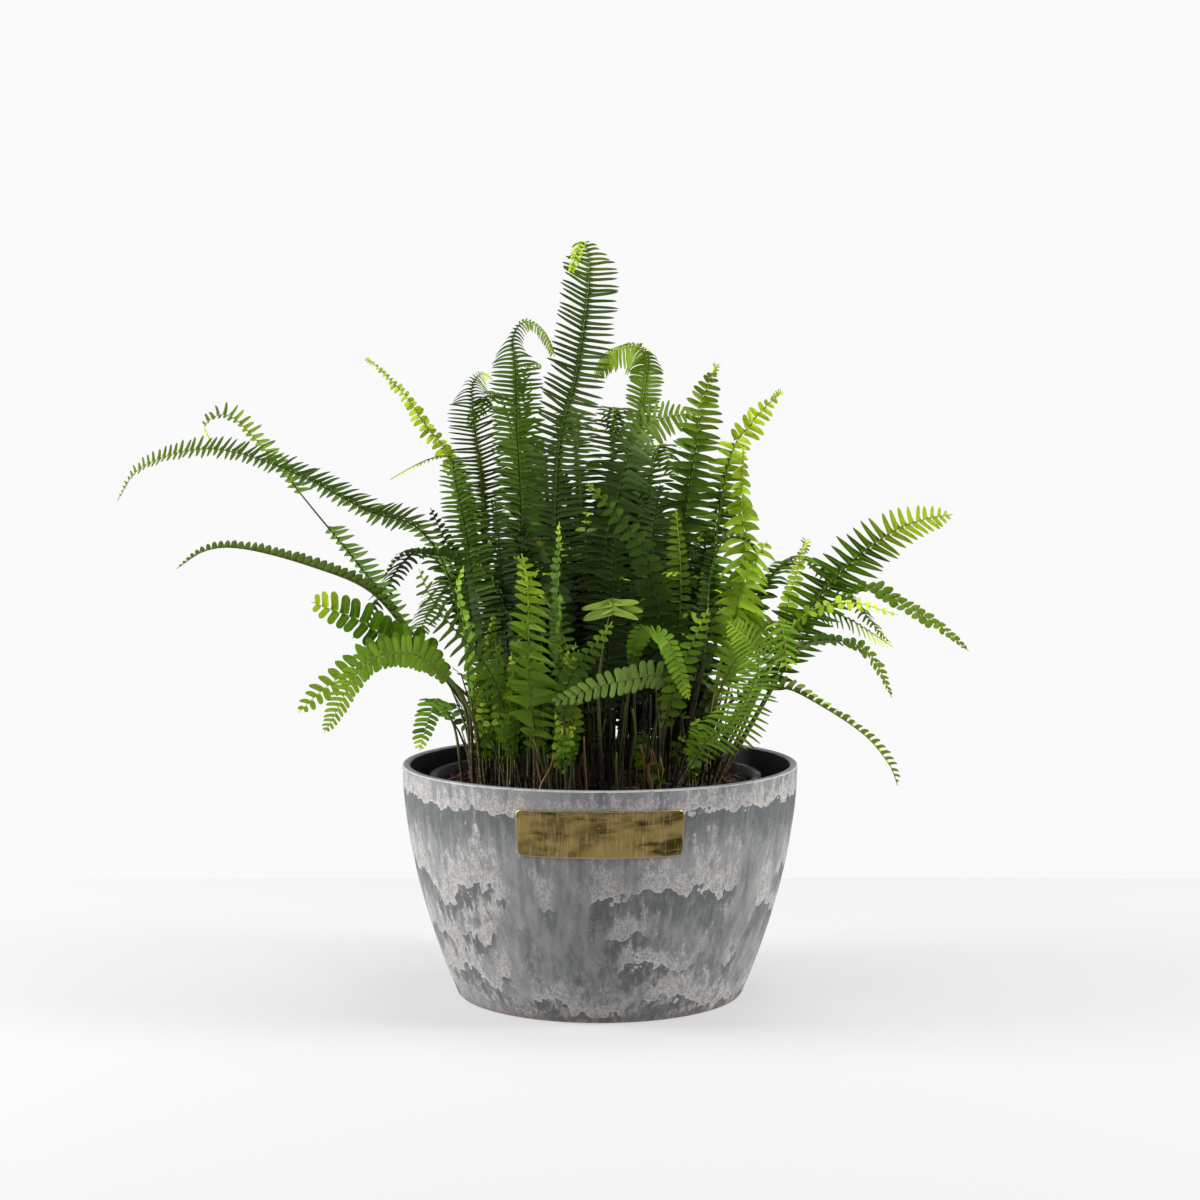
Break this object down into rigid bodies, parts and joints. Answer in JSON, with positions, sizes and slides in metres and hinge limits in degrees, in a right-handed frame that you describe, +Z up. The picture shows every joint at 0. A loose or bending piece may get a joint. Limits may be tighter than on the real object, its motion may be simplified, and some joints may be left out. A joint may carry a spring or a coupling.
{
  "type": "kimberly queen fern in a planter",
  "caption": "Upright sword fern with arching saw-edged fronds in a grow pot, standing in a round tapering stone-look planter with a bare brass plate.",
  "frame": {"origin": "centre of the planter's flat underside, on the floor", "axes": "+X to the right along the widest spread of the fronds, -Y to the front, where the plate is, +Z up"},
  "size_m": [0.665, 0.4101, 0.5816],
  "materials": {
    "planter": "matte",
    "brass": "satin",
    "grow_pot": "satin",
    "soil": "matte",
    "frond_green": "satin",
    "frond_light": "satin",
    "frond_lime": "satin"
  },
  "bodies": {
    "root": {"planter": "planter", "name_plate": "brass", "grow_pot": "grow_pot", "soil": "soil", "frond_long_left": "frond_green", "frond_curl_left": "frond_green", "frond_low_left": "frond_green", "frond_pale_left_upper": "frond_light", "frond_pale_left_middle": "frond_light", "frond_pale_left_lower": "frond_light", "frond_pale_upper_left": "frond_light", "frond_bowed_left": "frond_green", "frond_hanging_left": "frond_light", "frond_dark_left": "frond_green", "frond_tall_left": "frond_green", "frond_tall_middle": "frond_green", "frond_tall_behind": "frond_green", "frond_tallest": "frond_green", "frond_nodding": "frond_green", "frond_upright_right": "frond_green", "frond_leaning_right": "frond_green", "frond_lime_upright": "frond_lime", "frond_fan_right": "frond_light", "frond_arching_middle": "frond_green", "frond_dark_middle": "frond_green", "frond_young_middle": "frond_green", "frond_crossing_middle": "frond_green", "frond_wide_right": "frond_green", "frond_far_right": "frond_green", "frond_drooping_right": "frond_green", "frond_lower_right": "frond_green", "frond_lime_crozier": "frond_lime", "frond_lime_right": "frond_lime", "frond_back_right": "frond_green", "frond_front_light": "frond_lime", "frond_comb_front": "frond_green", "frond_claw_front": "frond_green", "frond_sweeping_right": "frond_light", "frond_spotted_right": "frond_light", "frond_edge_left": "frond_green", "frond_dark_right": "frond_green", "frond_slanting_left": "frond_green", "frond_thin_left": "frond_green", "frond_edge_middle": "frond_green", "frond_pale_middle": "frond_light", "frond_inner_left": "frond_green", "frond_inner_right": "frond_green", "frond_bright_right": "frond_light", "frond_front_middle": "frond_green", "frond_back_low_1": "frond_green", "frond_back_low_2": "frond_green", "frond_back_low_3": "frond_green", "frond_back_low_4": "frond_green", "frond_back_low_5": "frond_green", "frond_back_low_6": "frond_green", "frond_back_high_1": "frond_green", "frond_back_high_2": "frond_green", "frond_back_high_3": "frond_green", "frond_back_high_4": "frond_green", "frond_back_high_5": "frond_green"}
  },
  "joints": []
}
